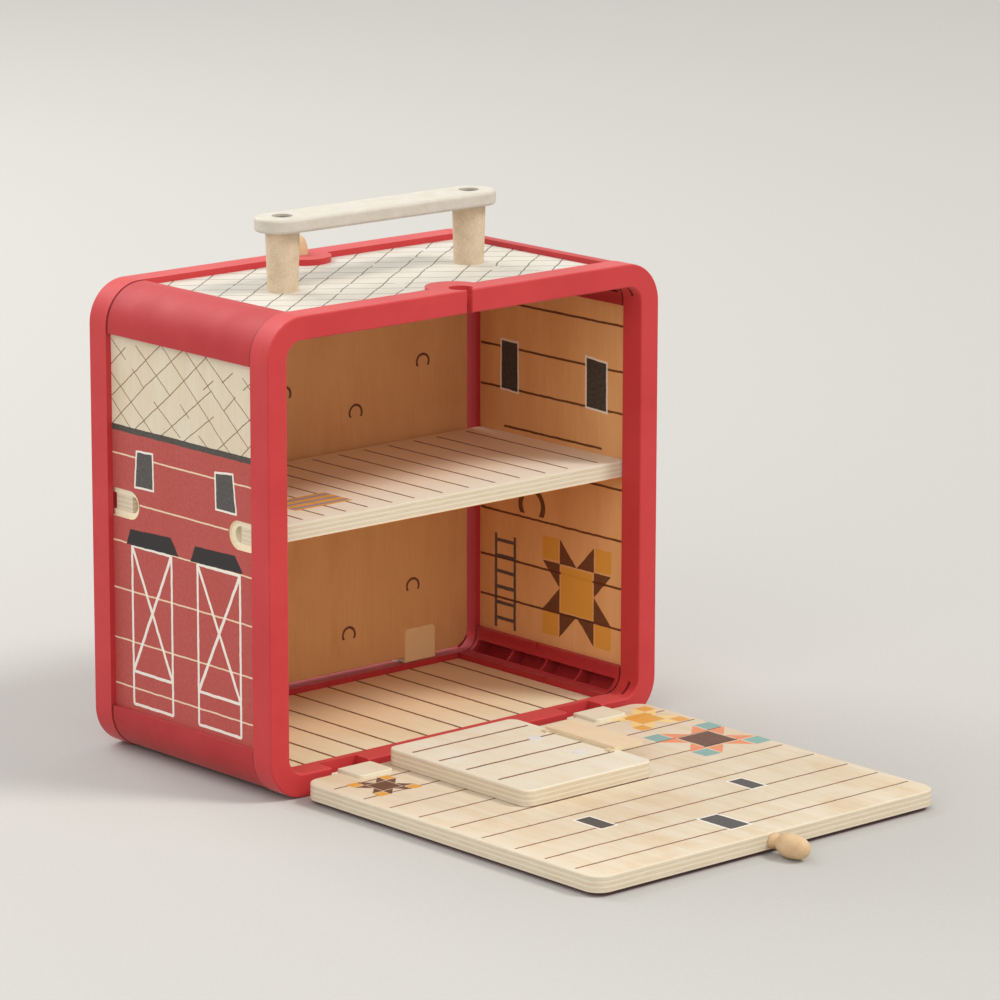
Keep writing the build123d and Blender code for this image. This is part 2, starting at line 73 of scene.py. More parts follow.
def placeCamera():
    yaw, pitch, roll = camera["yaw"], camera["pitch"], camera["roll"]
    forward = Vector((math.sin(yaw) * math.cos(pitch), math.cos(yaw) * math.cos(pitch), -math.sin(pitch)))
    level = Vector((math.cos(yaw), -math.sin(yaw), 0))
    upright = level.cross(forward)
    right = level * math.cos(roll) + upright * math.sin(roll)
    up = upright * math.cos(roll) - level * math.sin(roll)
    bpy.ops.object.camera_add(location=camera["place"])
    eye = bpy.context.object
    eye.name = "mainCamera"
    turn = Matrix((right, up, -forward)).transposed().to_4x4()
    eye.matrix_world = Matrix.Translation(camera["place"]) @ turn
    eye.data.sensor_width = camera["sensor"]
    eye.data.lens = camera["lens"]
    bpy.context.scene.camera = eye


def addLight(name, kind, place, power, tone=(255, 255, 255)):
    bpy.ops.object.light_add(type=kind, location=place)
    lamp = bpy.context.object
    lamp.name = name
    lamp.data.energy = power
    lamp.data.color = linear(*tone)[:3]
    aim = Vector(studio["aimAt"]) - Vector(place)
    lamp.rotation_euler = aim.to_track_quat("-Z", "Y").to_euler()
    return lamp.data


placeCamera()
keyLight = addLight("keyLight", "SUN", studio["keyPlace"], studio["keyPower"], studio["keyTone"])
keyLight.angle = studio["keySpread"]
addLight("fillLight", "AREA", studio["fillPlace"], studio["fillPower"]).size = studio["fillSize"]
addLight("backLight", "AREA", studio["backPlace"], studio["backPower"]).size = studio["backSize"]
sky = bpy.data.worlds.new("studioSky")
sky.use_nodes = True
sky.node_tree.nodes["Background"].inputs["Color"].default_value = linear(*studio["skyTone"])
sky.node_tree.nodes["Background"].inputs["Strength"].default_value = studio["skyStrength"]
bpy.context.scene.world = sky
bpy.context.scene.view_settings.view_transform = "Standard"
print("camera and lights placed")


# Node helpers, and the kinds of noise they can lay: detail, roughness and distortion
noises = {
    "specks": (1.0, 0.5, 0.0),
    "waver": (2.0, 0.5, 0.0),
    "wobble": (3.0, 0.5, 0.0),
    "flakes": (2.0, 0.55, 0.0),
    "brushed": (2.0, 0.6, 0.0),
    "fibres": (3.0, 0.6, 0.0),
    "mottle": (3.0, 0.65, 0.0),
    "endGrain": (3.0, 0.7, 0.0),
    "ink": (4.0, 0.7, 0.0),
    "figure": (3.0, 0.55, 0.6),
    "blotch": (4.0, 0.55, 0.5),
}


def feed(tree, socket, value):  # links another node's socket, or sets a plain value
    if isinstance(value, bpy.types.NodeSocket):
        tree.links.new(value, socket)
    elif value is not None:
        socket.default_value = value


def mathNode(tree, operation, first, second=None, third=None):
    node = tree.nodes.new("ShaderNodeMath")
    node.operation = operation
    for socket, value in zip(node.inputs, (first, second, third)):
        feed(tree, socket, value)
    return node.outputs[0]


def vectorNode(tree, operation, first, second=None, output="Vector"):
    node = tree.nodes.new("ShaderNodeVectorMath")
    node.operation = operation
    for socket, value in zip(node.inputs, (first, second)):
        feed(tree, socket, value)
    return node.outputs[output]


def dotNode(tree, vector, direction):
    return vectorNode(tree, "DOT_PRODUCT", vector, direction, output="Value")


def mixColour(tree, factor, under, over):
    node = tree.nodes.new("ShaderNodeMix")
    node.data_type = "RGBA"
    for number, value in ((0, factor), (6, under), (7, over)):  # the factor and the colour sockets
        feed(tree, node.inputs[number], value)
    return node.outputs[2]


def noiseNode(tree, vector, scale, kind, output="Fac"):
    node = tree.nodes.new("ShaderNodeTexNoise")
    feed(tree, node.inputs["Vector"], vector)
    feed(tree, node.inputs["Scale"], scale)
    for label, value in zip(("Detail", "Roughness", "Distortion"), noises[kind]):
        feed(tree, node.inputs[label], value)
    return node.outputs[output]


def stretchedNoise(tree, vector, scales, kind):  # with its own scale along each axis
    return noiseNode(tree, vectorNode(tree, "MULTIPLY", vector, scales), 1.0, kind)


def rangeNode(tree, value, fromLow, fromHigh, toLow=0.0, toHigh=1.0):
    node = tree.nodes.new("ShaderNodeMapRange")
    for socket, given in zip(node.inputs, (value, fromLow, fromHigh, toLow, toHigh)):
        feed(tree, socket, given)
    return node.outputs["Result"]


def joinMasks(tree, masks):
    whole = masks[0]
    for mask in masks[1:]:
        whole = mathNode(tree, "MAXIMUM", whole, mask)
    return whole


def newGroup(name, inputs, outputs):
    group = bpy.data.node_groups.new(name, "ShaderNodeTree")
    for label, kind, value in inputs:
        socket = group.interface.new_socket(label, in_out="INPUT", socket_type=kind)
        if value is not None:
            socket.default_value = value
    for label, kind in outputs:
        group.interface.new_socket(label, in_out="OUTPUT", socket_type=kind)
    start = group.nodes.new("NodeGroupInput")
    end = group.nodes.new("NodeGroupOutput")
    return group, start.outputs, end.inputs


def placeGroup(tree, group, **values):
    node = tree.nodes.new("ShaderNodeGroup")
    node.node_tree = group
    for label, value in values.items():
        feed(tree, node.inputs[label], value)
    return node.outputs


def newFinish(name, roughness):  # also gives the place on the object, in millimetres
    finish = bpy.data.materials.new(name)
    finish.use_nodes = True
    tree = finish.node_tree
    shader = tree.nodes["Principled BSDF"]
    shader.inputs["Roughness"].default_value = roughness
    place = tree.nodes.new("ShaderNodeTexCoord").outputs["Object"]
    return finish, tree, shader, vectorNode(tree, "MULTIPLY", place, (1000, 1000, 1000))


def addBump(tree, shader, height, depth, strength):
    bump = tree.nodes.new("ShaderNodeBump")
    bump.inputs["Strength"].default_value = strength
    bump.inputs["Distance"].default_value = depth
    tree.links.new(height, bump.inputs["Height"])
    tree.links.new(bump.outputs["Normal"], shader.inputs["Normal"])


# Node groups that several finishes share. Scales are per millimetre, and a pair is where a noise starts
# to count and where it counts in full
birch = {
    "fibreScale": (1.9, 1.9, 0.045),  # across, across and along the fibres
    "fleckScale": (1.1, 1.1, 0.16),
    "figureScale": (0.06, 0.06, 0.008),
    "blotchScale": (0.03, 0.03, 0.018),
    "fibre": (0.3, 0.72),
    "fleck": (0.66, 0.76),
    "figure": (0.34, 0.66),
    "blotch": (0.5, 0.74),
    "fibreShare": 0.3,  # how much of the dark tone each one brings
    "fleckShare": 0.14,
    "figureShare": 0.24,
    "blotchShare": 0.26,
}
layers = {
    "waverScale": 0.05,
    "waver": 0.018,  # how far the layers wander, as a share of the board
    "grainScale": 1.3,
    "streakScale": (0.1, 0.1, 1.6),
    "streak": (0.3, 0.66, 0.25, 0.9),
    "pale": (linear(233, 224, 204), linear(219, 206, 182)),
    "cross": (linear(220, 202, 172), linear(202, 180, 148)),
    "glueTone": linear(158, 128, 94),
    "gluePlace": 0.04,
    "glueHalf": 0.07,
    "glueShare": 0.28,
}
laydown = {
    "mottleScale": 0.6,
    "mottle": (0.25, 0.75, 0.0, 0.09),
    "speckScale": 2.6,
    "speck": (0.62, 0.8, 0.0, 0.12),
}
skin = {
    "cloudScale": 0.03,
    "mottleScale": 1.3,
    "tone": (0.3, 0.7),
}


# Fine fibres, short flecks, a broad soft figure and warm blotches. The fibres run along Z of Place
def makeBirchGrain():
    group, given, made = newGroup(
        "birchGrain",
        [("Place", "NodeSocketVector", None), ("Pale", "NodeSocketColor", None),
         ("Dark", "NodeSocketColor", None), ("Depth", "NodeSocketFloat", 1.0)],
        [("Color", "NodeSocketColor"), ("Height", "NodeSocketFloat")],
    )
    place = given["Place"]
    fibre = stretchedNoise(group, place, birch["fibreScale"], "fibres")
    fleck = rangeNode(group, stretchedNoise(group, place, birch["fleckScale"], "specks"), *birch["fleck"])
    figure = stretchedNoise(group, place, birch["figureScale"], "figure")
    blotch = stretchedNoise(group, place, birch["blotchScale"], "blotch")
    tone = mathNode(group, "MULTIPLY", rangeNode(group, fibre, *birch["fibre"]), birch["fibreShare"])
    for label, noise in (("figure", figure), ("blotch", blotch)):
        part = mathNode(group, "MULTIPLY", rangeNode(group, noise, *birch[label]), birch[label + "Share"])
        tone = mathNode(group, "ADD", tone, part)
    tone = mathNode(group, "MULTIPLY", tone, given["Depth"])
    tone = mathNode(group, "ADD", tone, mathNode(group, "MULTIPLY", fleck, birch["fleckShare"]))
    group.links.new(mixColour(group, tone, given["Pale"], given["Dark"]), made["Color"])
    group.links.new(mathNode(group, "SUBTRACT", fibre, fleck), made["Height"])
    return group


# The stripes on a cut edge of plywood. Share runs from 0 to 1 through the board
def makePlyLayers():
    group, given, made = newGroup(
        "plyLayers",
        [("Place", "NodeSocketVector", None), ("Share", "NodeSocketFloat", 0.0),
         ("Plies", "NodeSocketFloat", 7.0)],
        [("Color", "NodeSocketColor"), ("Height", "NodeSocketFloat")],
    )
    place, wander = given["Place"], layers["waver"]
    waver = rangeNode(group, noiseNode(group, place, layers["waverScale"], "waver"), 0.0, 1.0, -wander, wander)
    plies = mathNode(group, "MULTIPLY", mathNode(group, "ADD", given["Share"], waver), given["Plies"])
    odd = mathNode(group, "FLOORED_MODULO", mathNode(group, "FLOOR", plies), 2.0)
    within = mathNode(group, "FRACT", plies)
    glue = mathNode(group, "COMPARE", within, layers["gluePlace"], layers["glueHalf"])
    endGrain = noiseNode(group, place, layers["grainScale"], "endGrain")
    streak = stretchedNoise(group, place, layers["streakScale"], "fibres")
    soft = mathNode(group, "MULTIPLY", odd, rangeNode(group, streak, *layers["streak"]))
    pale = mixColour(group, endGrain, *layers["pale"])
    cross = mixColour(group, endGrain, *layers["cross"])
    colour = mixColour(group, soft, pale, cross)
    glueMask = mathNode(group, "MULTIPLY", glue, layers["glueShare"])
    group.links.new(mixColour(group, glueMask, colour, layers["glueTone"]), made["Color"])
    group.links.new(mathNode(group, "SUBTRACT", endGrain, glue), made["Height"])
    return group


# Printed ink on wood: its tone varies a little, and the grain lifts through it
def makeInkLaydown():
    group, given, made = newGroup(
        "inkLaydown",
        [("Place", "NodeSocketVector", None), ("Under", "NodeSocketColor", None),
         ("Ink", "NodeSocketColor", None), ("Mask", "NodeSocketFloat", 0.0),
         ("Cover", "NodeSocketFloat", 0.96)],
        [("Color", "NodeSocketColor")],
    )
    place = given["Place"]
    mottle = rangeNode(group, noiseNode(group, place, laydown["mottleScale"], "ink"), *laydown["mottle"])
    speck = rangeNode(group, noiseNode(group, place, laydown["speckScale"], "specks"), *laydown["speck"])
    lift = mathNode(group, "MULTIPLY", given["Mask"], mathNode(group, "SUBTRACT", given["Cover"], speck))
    shade = mixColour(group, mottle, given["Ink"], given["Under"])
    group.links.new(mixColour(group, lift, given["Under"], shade), made["Color"])
    return group


# Moulded fibre and plastic: a broad cloud and a fine mottle, which also gives the skin its height
def makeMouldedSkin():
    group, given, made = newGroup(
        "mouldedSkin",
        [("Place", "NodeSocketVector", None), ("Pale", "NodeSocketColor", None),
         ("Dark", "NodeSocketColor", None), ("Mottle", "NodeSocketFloat", skin["mottleScale"])],
        [("Color", "NodeSocketColor"), ("Height", "NodeSocketFloat"), ("Cloud", "NodeSocketFloat")],
    )
    cloud = noiseNode(group, given["Place"], skin["cloudScale"], "fibres")
    mottle = noiseNode(group, given["Place"], given["Mottle"], "mottle")
    half, rest = [mathNode(group, "MULTIPLY", noise, 0.5) for noise in (cloud, mottle)]
    tone = rangeNode(group, mathNode(group, "ADD", half, rest), *skin["tone"])
    group.links.new(mixColour(group, tone, given["Pale"], given["Dark"]), made["Color"])
    group.links.new(mottle, made["Height"])
    group.links.new(cloud, made["Cloud"])
    return group


birchGrain = makeBirchGrain()
plyLayers = makePlyLayers()
inkLaydown = makeInkLaydown()
mouldedSkin = makeMouldedSkin()
print("node groups made")

# Printing on a flat face. A sheet is a vector socket whose X and Y lie in the face, in millimetres
inks = {
    "barnRed": linear(178, 58, 57),
    "cream": linear(238, 212, 180),
    "white": linear(240, 236, 226),
    "charcoal": linear(48, 46, 48),
    "soot": linear(24, 18, 14),
    "plankBrown": linear(86, 38, 13),
    "plankTan": linear(112, 54, 20),
    "latticeBrown": linear(118, 80, 48),
    "latticeGrey": linear(92, 84, 74),
    "ochre": linear(222, 160, 62),
    "straw": linear(238, 206, 128),
    "slate": linear(70, 66, 72),
    "umber": linear(92, 46, 30),
    "teal": linear(124, 170, 166),
    "coral": linear(226, 138, 98),
    "skyBlue": linear(122, 138, 184),
}
inkCover = {"line": 0.96, "field": 0.97, "pane": 0.98, "faded": 0.8}
printing = {
    "waves": 0.16,  # how close together the wobbles of a printed edge are, and how far they reach
    "reach": 0.9,
    "starCore": 0.93,  # a quilt star's middle square and its corner squares, in its own units
    "starCorner": 1.08,
    "shoeHeel": 0.55,  # how far below its middle a horseshoe ends, in radiuses
}


# A sheet in the plane of right and up, with a slight wobble so that printed edges aren't ruled
def layFlat(tree, place, right, up, waves=printing["waves"], reach=printing["reach"]):
    sheet = tree.nodes.new("ShaderNodeCombineXYZ")
    tree.links.new(dotNode(tree, place, right), sheet.inputs["X"])
    tree.links.new(dotNode(tree, place, up), sheet.inputs["Y"])
    wobble = noiseNode(tree, sheet.outputs[0], waves, "wobble", output="Color")
    shift = vectorNode(tree, "SUBTRACT", wobble, (0.5, 0.5, 0.5))
    shift = vectorNode(tree, "MULTIPLY", shift, (reach, reach, 0.0))
    return vectorNode(tree, "ADD", sheet.outputs[0], shift)


def printBar(tree, sheet, start, end, width):
    start, end = Vector((*start, 0)), Vector((*end, 0))
    along = (end - start).normalized()
    across = Vector((-along.y, along.x, 0))
    middle = (start + end) / 2
    half = (end - start).length / 2
    side = mathNode(tree, "COMPARE", dotNode(tree, sheet, across), middle.dot(across), width / 2)
    reach = mathNode(tree, "COMPARE", dotNode(tree, sheet, along), middle.dot(along), half)
    return mathNode(tree, "MULTIPLY", side, reach)


def printPlanks(tree, sheet, lines, width):  # lines as (level, start, end), along X
    return joinMasks(tree, [printBar(tree, sheet, (start, level), (end, level), width)
                            for level, start, end in lines])


def printPosts(tree, sheet, lines, width):  # lines as (place, start, end), along Y
    return joinMasks(tree, [printBar(tree, sheet, (place, start), (place, end), width)
                            for place, start, end in lines])


# How far a point lies outside a convex outline whose corners run anticlockwise
def outlineReach(tree, sheet, corners):
    reach = None
    for here, there in zip(corners, corners[1:] + corners[:1]):
        edge = Vector((there[0] - here[0], there[1] - here[1], 0)).normalized()
        outward = Vector((edge.y, -edge.x, 0))
        level = mathNode(tree, "SUBTRACT", dotNode(tree, sheet, outward), outward.dot(Vector((*here, 0))))
        reach = level if reach is None else mathNode(tree, "MAXIMUM", reach, level)
    return reach


def printShapes(tree, sheet, shapes):
    return joinMasks(tree, [mathNode(tree, "LESS_THAN", outlineReach(tree, sheet, corners), 0.0)
                            for corners in shapes])


def printWindows(tree, sheet, look):  # the masks of the panes, and of the panes with their borders
    panes, borders = [], []
    for corners in look["windows"]:
        reach = outlineReach(tree, sheet, corners)
        panes.append(mathNode(tree, "LESS_THAN", reach, 0.0))
        borders.append(mathNode(tree, "LESS_THAN", reach, look["windowBorder"]))
    return joinMasks(tree, panes), joinMasks(tree, borders)


# A barn door's white boards: its frame, a bar near the bottom and two braces from the top corners
def printBracedDoor(tree, sheet, left, right, look):
    top, bottom, bar = look["doorTop"], look["doorBottom"], look["doorBar"]
    straight = (((left, top), (left, bottom)), ((right, top), (right, bottom)), ((left, top), (right, top)),
                ((left, bottom), (right, bottom)), ((left, bar), (right, bar)))
    braces = (((left, top), (right, bar)), ((right, top), (left, bar)))
    return joinMasks(tree, [printBar(tree, sheet, start, end, look["doorLine"]) for start, end in straight]
                     + [printBar(tree, sheet, start, end, look["braceLine"]) for start, end in braces])


# The masks of a sawtooth star's middle square, points and corner squares. It is four units wide
def printQuiltStar(tree, sheet, middle, unit):
    shifted = vectorNode(tree, "SUBTRACT", sheet, (*middle, 0))
    folded = tree.nodes.new("ShaderNodeSeparateXYZ")
    tree.links.new(vectorNode(tree, "ABSOLUTE", shifted), folded.inputs[0])
    across, up = folded.outputs["X"], folded.outputs["Y"]
    far = mathNode(tree, "DIVIDE", mathNode(tree, "MAXIMUM", across, up), unit)
    near = mathNode(tree, "DIVIDE", mathNode(tree, "MINIMUM", across, up), unit)
    block = mathNode(tree, "LESS_THAN", far, 2.0)
    core = mathNode(tree, "LESS_THAN", far, printing["starCore"])
    tooth = mathNode(tree, "GREATER_THAN", near, mathNode(tree, "SUBTRACT", far, 1.0))
    inside = mathNode(tree, "LESS_THAN", near, 1.0)
    points = mathNode(tree, "MULTIPLY", mathNode(tree, "MULTIPLY", tooth, inside), block)
    points = mathNode(tree, "MULTIPLY", points, mathNode(tree, "GREATER_THAN", far, 1.0))
    corners = mathNode(tree, "GREATER_THAN", near, printing["starCorner"])
    return core, points, mathNode(tree, "MULTIPLY", corners, block)


def printHorseshoe(tree, sheet, middle, radius, width):
    away = vectorNode(tree, "SUBTRACT", sheet, (*middle, 0))
    distance = vectorNode(tree, "LENGTH", away, output="Value")
    ring = mathNode(tree, "COMPARE", distance, radius, width / 2)
    height = dotNode(tree, away, (0, 1, 0))
    return mathNode(tree, "MULTIPLY", ring,
                    mathNode(tree, "GREATER_THAN", height, -printing["shoeHeel"] * radius))


def printLadder(tree, sheet, look):
    (left, right), (bottom, top), width = look["ladderRails"], look["ladderEnds"], look["ladderLine"]
    bars = [printBar(tree, sheet, (side, bottom), (side, top), width) for side in (left, right)]
    pitch = (top - bottom) / look["rungs"]
    for number in range(look["rungs"]):
        height = bottom + (number + look["firstRung"]) * pitch
        bars.append(printBar(tree, sheet, (left, height), (right, height), width))
    return joinMasks(tree, bars)


def layInk(tree, place, under, ink, mask, face, cover="line"):
    mask = mathNode(tree, "MULTIPLY", mask, face)
    return placeGroup(tree, inkLaydown, Place=place, Under=under, Ink=inks[ink], Mask=mask,
                      Cover=inkCover[cover])[0]


# Door boards and windows in white, then panes, canopies and bands in charcoal. The canopies get two
# coats, because no white lies under them to hide the red
def layBarnDetails(tree, place, colour, sheet, look, face, bands=()):
    panes, borders = printWindows(tree, sheet, look)
    boards = [printBracedDoor(tree, sheet, left, right, look) for left, right in look["doors"]]
    canopies = printShapes(tree, sheet, look["canopies"])
    colour = layInk(tree, place, colour, "white", joinMasks(tree, [borders, *boards]), face, "field")
    colour = layInk(tree, place, colour, "charcoal", canopies, face)
    return layInk(tree, place, colour, "charcoal", joinMasks(tree, [panes, canopies, *bands]), face, "field")


# Plywood
ply = {
    "boardPlies": 7.0,
    "panelPlies": 5.0,
    "faceBand": 0.22,  # how far from a face's level its wood and print still lie
    "faceFacing": 0.8,  # how squarely a cut floor has to face the way that the face does
    "roughness": 0.5,
    "gloss": 0.22,
    "bump": (0.00006, 0.6),
    "outside": (linear(226, 218, 199), linear(209, 184, 146)),  # a pale and a dark tone for each face
    # painted shade: the inside tones are a warm orange standing in for the dim bounce light inside the rooms;
    # the wood is the same birch as outside
    "inside": (linear(235, 182, 124), linear(210, 146, 90)),
    "floor": (linear(239, 231, 204), linear(225, 204, 162)),
    "shelf": (linear(243, 239, 225), linear(232, 219, 190)),
    "board": (linear(232, 230, 216), linear(222, 209, 180)),
    "roof": (linear(213, 210, 201), linear(199, 189, 171)),
    "slat": (linear(234, 218, 188), linear(216, 184, 142)),
    "cutPale": linear(250, 238, 208),  # the milled pockets in the walls
    "cutShare": 0.75,
}
grainAlong = {
    "X": ((0, 0, 1), (0, 1, 0), (1, 0, 0)),
    "Y": ((1, 0, 0), (0, 0, 1), (0, 1, 0)),
    "Z": ((1, 0, 0), (0, 1, 0), (0, 0, 1)),
}


def birchWood(tree, place, grain, tones, depth=1.0):  # grain names the axis that its fibres follow
    turned = tree.nodes.new("ShaderNodeCombineXYZ")
    for socket, direction in zip(turned.inputs, grainAlong[grain]):
        tree.links.new(dotNode(tree, place, direction), socket)
    pale, dark = ply[tones]
    return placeGroup(tree, birchGrain, Place=turned.outputs[0], Pale=pale, Dark=dark, Depth=depth)


# Plywood whose faces lie at two levels along normal. It also gives what the prints need
def plyFinish(name, normal, levels, plies, grain, tones, depth=1.0):
    finish, tree, shader, place = newFinish(name, ply["roughness"])
    shader.inputs["Specular IOR Level"].default_value = ply["gloss"]
    level = dotNode(tree, place, normal)
    faces = [mathNode(tree, "COMPARE", level, face, ply["faceBand"]) for face in levels]
    wood = birchWood(tree, place, grain, tones, depth)
    share = rangeNode(tree, level, min(levels), max(levels))
    edge = placeGroup(tree, plyLayers, Place=place, Share=share, Plies=plies)
    turn = tree.nodes.new("ShaderNodeTexCoord").outputs["Normal"]
    facing = mathNode(tree, "ABSOLUTE", dotNode(tree, turn, normal))
    onFace = joinMasks(tree, [*faces, mathNode(tree, "GREATER_THAN", facing, ply["faceFacing"])])
    colour = mixColour(tree, onFace, edge["Color"], wood["Color"])
    height = mathNode(tree, "ADD", mathNode(tree, "MULTIPLY", wood["Height"], onFace),
                      mathNode(tree, "MULTIPLY", edge["Height"], mathNode(tree, "SUBTRACT", 1.0, onFace)))
    addBump(tree, shader, height, *ply["bump"])
    return finish, tree, shader, place, colour, faces


# Gives the part of a board beyond a level along normal its own wood, without its prints
def otherWood(tree, place, colour, normal, start, grain, tones):
    beyond = mathNode(tree, "GREATER_THAN", dotNode(tree, place, normal), start)
    return mixColour(tree, beyond, colour, birchWood(tree, place, grain, tones)["Color"])


def dress(node, finish):
    for slot in nodes[node].material_slots:
        slot.material = finish


# Side walls, printed on both faces
sideWall = {
    "lineWidth": 0.95,
    "bandLow": 188.3,
    "bandHigh": 191.8,
    "redLow": 20.0,
    "halfWidth": 70.0,
    "planks": [(175.1, -70, 70), (148.1, -40, 40), (124.4, -70, 70), (97.0, -70, 70), (67.6, -70, 70),
               (40.8, -70, 70)],
    "windowBorder": 1.2,
    "windows": [[(-43.6, 158.6), (-27.9, 159.0), (-28.2, 178.8), (-41.8, 178.3)],
                [(29.6, 158.4), (46.2, 158.6), (43.6, 179.4), (29.2, 178.0)]],
    "canopies": [[(-52.8, 123.8), (-5.0, 124.6), (-11.7, 134.4), (-48.9, 133.0)],
                 [(5.6, 124.2), (52.6, 125.2), (45.6, 134.4), (9.8, 133.6)]],
    "doors": [(-47.6, -11.6), (11.9, 49.6)],
    "doorTop": 123.8,
    "doorBottom": 31.4,
    "doorBar": 50.6,
    "doorLine": 1.7,
    "braceLine": 2.0,
    "latticeLine": 0.56,
    # drawn from (y, z) to (y, z)
    "lattice": [((64, 240), (51, 230)), ((66, 221.7), (27, 191)), ((66, 207.4), (47, 191)),
                ((45, 225.5), (34.5, 216)), ((42, 239.5), (11, 215.5)), ((26, 210), (2, 193)),
                ((18.5, 243), (-42.5, 191)), ((2, 212), (-6, 205.5)), ((-3, 243), (-37, 214.5)),
                ((-37, 214.5), (-58, 197)), ((-14, 197), (-23, 191)), ((-20, 243), (-62, 211)),
                ((-53.5, 235.5), (-62, 228.4)), ((66, 224.5), (51, 237)), ((66, 206.4), (33, 232)),
                ((33, 232), (19, 243)), ((65, 191), (34, 217)), ((34, 217), (-1, 243)),
                ((44, 191), (12, 215)), ((12, 215), (-23, 243)), ((20, 191), (-26, 224)),
                ((-19, 223.5), (-28, 230)), ((0, 191), (-28, 210)), ((-35.5, 230), (-45, 237)),
                ((-37, 214.5), (-47.5, 224)), ((-30, 191), (-62, 215)), ((-54, 228.5), (-62, 234.5)),
                ((-51.5, 191), (-62, 200.4))],
}
insideWall = {
    "lineWidth": 1.4,
    "planks": [(230.2, -64, 64), (203.0, -64, 64), (178.2, -64, 64), (154.9, -43, 43), (132.7, -64, 64),
               (102.0, -64, 64), (73.4, -64, 64), (48.6, -64, 64)],
    "windowBorder": 1.3,
    "windows": [[(-45.4, 178.0), (-31.0, 177.2), (-31.4, 206.6), (-45.2, 206.8)],
                [(29.8, 178.2), (46.6, 177.4), (46.4, 206.0), (29.6, 207.2)]],
    "starMiddle": (22.0, 64.0),
    "starUnit": 15.0,
    "ladderRails": (-50.0, -33.0),
    "ladderEnds": (30.0, 88.0),
    "ladderLine": 2.2,
    "rungs": 6,
    "firstRung": 0.6,  # how high the lowest one is, in pitches
    "shoeMiddle": (-18.0, 110.0),
    "shoeRadius": 10.0,
    "shoeWidth": 3.8,
}


def printWallOutside(tree, place, colour, sign, face):
    look = sideWall
    sheet = layFlat(tree, place, (0, sign, 0), (0, 0, 1))
    half, low, high = look["halfWidth"], look["bandLow"], look["bandHigh"]
    ends = [((sign * start[0], start[1]), (sign * end[0], end[1])) for start, end in look["lattice"]]
    lattice = joinMasks(tree, [printBar(tree, sheet, start, end, look["latticeLine"]) for start, end in ends])
    redField = printBar(tree, sheet, (0, look["redLow"]), (0, low), 2 * half)
    planks = printPlanks(tree, sheet, look["planks"], look["lineWidth"])
    band = printBar(tree, sheet, (-half, (low + high) / 2), (half, (low + high) / 2), high - low)
    colour = layInk(tree, place, colour, "latticeBrown", lattice, face)
    colour = layInk(tree, place, colour, "barnRed", redField, face, "field")
    colour = layInk(tree, place, colour, "cream", planks, face)
    return layBarnDetails(tree, place, colour, sheet, look, face, [band])


def printWallInside(tree, place, colour, sign, face):
    look = insideWall
    sheet = layFlat(tree, place, (0, -sign, 0), (0, 0, 1))
    planks = printPlanks(tree, sheet, look["planks"], look["lineWidth"])
    panes, borders = printWindows(tree, sheet, look)
    core, points, corners = printQuiltStar(tree, sheet, look["starMiddle"], look["starUnit"])
    ladder = printLadder(tree, sheet, look)
    shoe = printHorseshoe(tree, sheet, look["shoeMiddle"], look["shoeRadius"], look["shoeWidth"])
    colour = layInk(tree, place, colour, "plankBrown", planks, face)
    colour = layInk(tree, place, colour, "white", borders, face, "faded")
    colour = layInk(tree, place, colour, "ochre", joinMasks(tree, [core, corners]), face)
    colour = layInk(tree, place, colour, "umber", points, face)
    colour = layInk(tree, place, colour, "slate", ladder, face)
    colour = layInk(tree, place, colour, "umber", shoe, face)
    return layInk(tree, place, colour, "soot", panes, face, "pane")


def wallFinish(name, node, sign):  # sign is the way along X that the outside faces
    low, high = millimetres(node)
    levels = (high.x, low.x) if sign > 0 else (-low.x, -high.x)  # the outside and the inside
    # painted shade: the wall's inner half takes the orange inside tones for the rooms' dim light
    made = plyFinish(name, (sign, 0, 0), levels, ply["panelPlies"], "Z", "inside")
    finish, tree, shader, place, colour, (outside, inside) = made
    colour = otherWood(tree, place, colour, (sign, 0, 0), sum(levels) / 2, "Z", "outside")
    cut = mathNode(tree, "SUBTRACT", mathNode(tree, "SUBTRACT", 1.0, outside), inside)
    colour = mixColour(tree, mathNode(tree, "MULTIPLY", cut, ply["cutShare"]), colour, ply["cutPale"])
    colour = printWallOutside(tree, place, colour, sign, outside)
    colour = printWallInside(tree, place, colour, sign, inside)
    tree.links.new(colour, shader.inputs["Base Color"])
    return finish


dress("left_wall", wallFinish("leftWallPly", "left_wall", -1))
dress("right_wall", wallFinish("rightWallPly", "right_wall", 1))
print("walls dressed")

# Floor, roof and shelf, seen from above
flatBoards = {
    "paintedShadePlace": (-50.0, 0.0),  # along Y, where the painted warm shade of the rooms begins and where it is in full
    "floorPaintedShade": 0.36,
    "shelfPaintedShade": 0.42,
    "floorLine": 2.0,
    "floorReach": 80.0,
    "floorLines": [-124.0, -101.0, -78.7, -56.5, -34.6, -10.2, 15.5, 37.4, 60.3, 79.5, 105.6],
    "shelfLine": 1.6,
    "shelfReach": 58.0,
    "shelfLines": [-119.5, -103.4, -88.2, -72.5, -56.4, -38.7, -22.0, -1.2, 18.7, 38.4, 57.2, 77.0, 94.8,
                   118.2],
    "matPlace": (-72.0, -26.0),
    "matSize": (42.0, 26.0),
    "matStripes": (-8.45, 0.0, 8.45),
    "stripeWidth": 2.4,
}
roofPrint = {
    "lineWidth": 0.8,
    "slope": 0.77,
    "wobble": (0.05, 3.4),
    "half": 130.0,
    "gapScale": (0.05, 0.05, 0.0),
    "gapBelow": 0.34,  # lines break off where the noise is lower
    "rising": [138.9, 116.4, 92.7, 72.0, 51.0, 33.5, 13.0, -10.5, -28.5, -56.5, -74.5, -98.0, -118.5],
    "falling": [140.0, 119.0, 99.0, 77.0, 58.0, 36.0, 17.0, -5.0, -27.0, -46.0, -68.0, -88.0, -110.0, -131.0],
}


def levelFinish(name, node, plies, grain, tones, depth=1.0):  # plywood that lies flat
    low, high = millimetres(node)
    return plyFinish(name, (0, 0, 1), (high.z, low.z), plies, grain, tones, depth)
